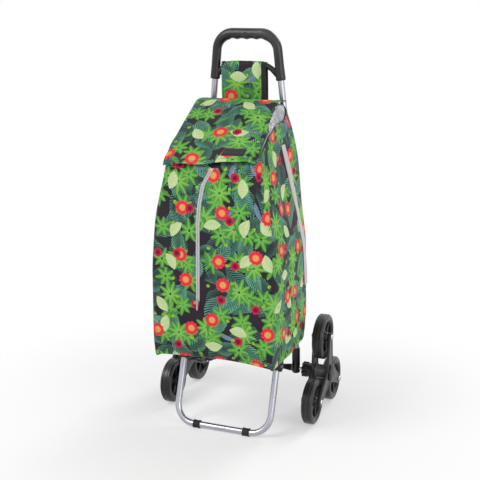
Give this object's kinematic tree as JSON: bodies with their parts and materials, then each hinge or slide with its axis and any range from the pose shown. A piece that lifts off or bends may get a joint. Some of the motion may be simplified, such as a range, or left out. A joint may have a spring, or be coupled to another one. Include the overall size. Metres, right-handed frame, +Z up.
{
  "type": "stair climbing shopping trolley",
  "caption": "Upright shopping trolley with a printed fabric bag and flap, bent tube frame, hand grip, front stand and a stair-climbing wheel cluster on each side.",
  "frame": {"origin": "on the floor under the centre of the whole trolley's box", "axes": "+Z up, +X to the right seen from the front, -Y towards the bag's front panel"},
  "size_m": [0.449, 0.442, 0.9803],
  "materials": {
    "tube_aluminium": "bright anodised, fine drawn grain",
    "grip_plastic": "satin moulded",
    "black_plastic": "fine moulded texture",
    "arm_plastic": "satin moulded",
    "block_plastic": "satin moulded",
    "tyre_rubber": "satin rubber",
    "foot_rubber": "matt rubber",
    "bolt_steel": "zinc plated",
    "bag_print": "woven polyester with a dense printed pattern",
    "black_fabric": "woven webbing",
    "board": "stiff base board",
    "silver_lining": "coated silver lining",
    "pale_tape": "woven tape",
    "zip_tape": "coil zip on woven tape",
    "zip_metal": "nickel plated"
  },
  "bodies": {
    "frame": {"upright_left": "tube_aluminium", "upright_right": "tube_aluminium", "sleeve_left": "black_plastic", "sleeve_right": "black_plastic", "handle_grip": "grip_plastic", "axle": "bolt_steel", "axle_retainers": "bolt_steel", "support_arm_left": "black_plastic", "support_arm_right": "black_plastic", "hinge_block_left": "black_plastic", "hinge_block_right": "black_plastic", "stand_pins": "bolt_steel", "bag_rest": "black_plastic", "bag_back": "black_fabric", "bag_front": "bag_print", "bag_side_left": "bag_print", "bag_side_right": "bag_print", "bag_floor": "black_fabric", "base_board": "board", "mouth_lining": "silver_lining", "zip_tape": "zip_tape", "side_tapes": "pale_tape", "hanging_strap": "bag_print", "strap_tape": "black_fabric", "upright_loops": "black_fabric"},
    "cluster_left": {"cluster_core_left": "black_plastic", "inner_plate_left": "arm_plastic", "bearing_block_left": "block_plastic", "outer_plate_left": "arm_plastic", "wheel_bolts_left": "bolt_steel", "wheel_nuts_left": "bolt_steel", "hub_cap_left": "black_plastic"},
    "cluster_right": {"cluster_core_right": "black_plastic", "inner_plate_right": "arm_plastic", "bearing_block_right": "block_plastic", "outer_plate_right": "arm_plastic", "wheel_bolts_right": "bolt_steel", "wheel_nuts_right": "bolt_steel", "hub_cap_right": "black_plastic"},
    "wheel_left_top": {"tyre_left_top": "tyre_rubber", "rim_left_top": "black_plastic"},
    "wheel_left_front": {"tyre_left_front": "tyre_rubber", "rim_left_front": "black_plastic"},
    "wheel_left_rear": {"tyre_left_rear": "tyre_rubber", "rim_left_rear": "black_plastic"},
    "wheel_right_top": {"tyre_right_top": "tyre_rubber", "rim_right_top": "black_plastic"},
    "wheel_right_front": {"tyre_right_front": "tyre_rubber", "rim_right_front": "black_plastic"},
    "wheel_right_rear": {"tyre_right_rear": "tyre_rubber", "rim_right_rear": "black_plastic"},
    "stand": {"stand_tube": "tube_aluminium", "foot_left": "foot_rubber", "foot_right": "foot_rubber"},
    "flap": {"bag_flap": "bag_print", "flap_label": "black_fabric"},
    "zip_slider": {"zip_slider": "zip_metal"},
    "zip_pull": {"zip_pull": "zip_metal"}
  },
  "joints": [
    {"name": "cluster_left_spin", "type": "hinge", "parent": "frame", "child": "cluster_left", "pos_m": [-0.194, 0.079, 0.1065], "axis": [1, 0, 0], "continuous": true},
    {"name": "cluster_right_spin", "type": "hinge", "parent": "frame", "child": "cluster_right", "pos_m": [0.194, 0.079, 0.1065], "axis": [1, 0, 0], "continuous": true},
    {"name": "wheel_left_top_spin", "type": "hinge", "parent": "cluster_left", "child": "wheel_left_top", "pos_m": [-0.194, 0.079, 0.20349], "axis": [1, 0, 0], "continuous": true},
    {"name": "wheel_left_front_spin", "type": "hinge", "parent": "cluster_left", "child": "wheel_left_front", "pos_m": [-0.194, -0.005, 0.058], "axis": [1, 0, 0], "continuous": true},
    {"name": "wheel_left_rear_spin", "type": "hinge", "parent": "cluster_left", "child": "wheel_left_rear", "pos_m": [-0.194, 0.163, 0.058], "axis": [1, 0, 0], "continuous": true},
    {"name": "wheel_right_top_spin", "type": "hinge", "parent": "cluster_right", "child": "wheel_right_top", "pos_m": [0.194, 0.079, 0.20349], "axis": [1, 0, 0], "continuous": true},
    {"name": "wheel_right_front_spin", "type": "hinge", "parent": "cluster_right", "child": "wheel_right_front", "pos_m": [0.194, -0.005, 0.058], "axis": [1, 0, 0], "continuous": true},
    {"name": "wheel_right_rear_spin", "type": "hinge", "parent": "cluster_right", "child": "wheel_right_rear", "pos_m": [0.194, 0.163, 0.058], "axis": [1, 0, 0], "continuous": true},
    {"name": "stand_fold", "type": "hinge", "parent": "frame", "child": "stand", "pos_m": [0, -0.081, 0.172], "axis": [1, 0, 0], "range_deg": [0, 70]},
    {"name": "flap_lift", "type": "hinge", "parent": "frame", "child": "flap", "pos_m": [0, 0.03063, 0.8093], "axis": [1, 0, 0], "range_deg": [-75, 0]},
    {"name": "zip_slide", "type": "slide", "parent": "frame", "child": "zip_slider", "axis": [0, 0, 1], "range_m": [0, 0.2]},
    {"name": "zip_pull_swing", "type": "hinge", "parent": "zip_slider", "child": "zip_pull", "pos_m": [-0.03, -0.2149, 0.35954], "axis": [1, 0, 0], "range_deg": [-150, 0]}
  ]
}
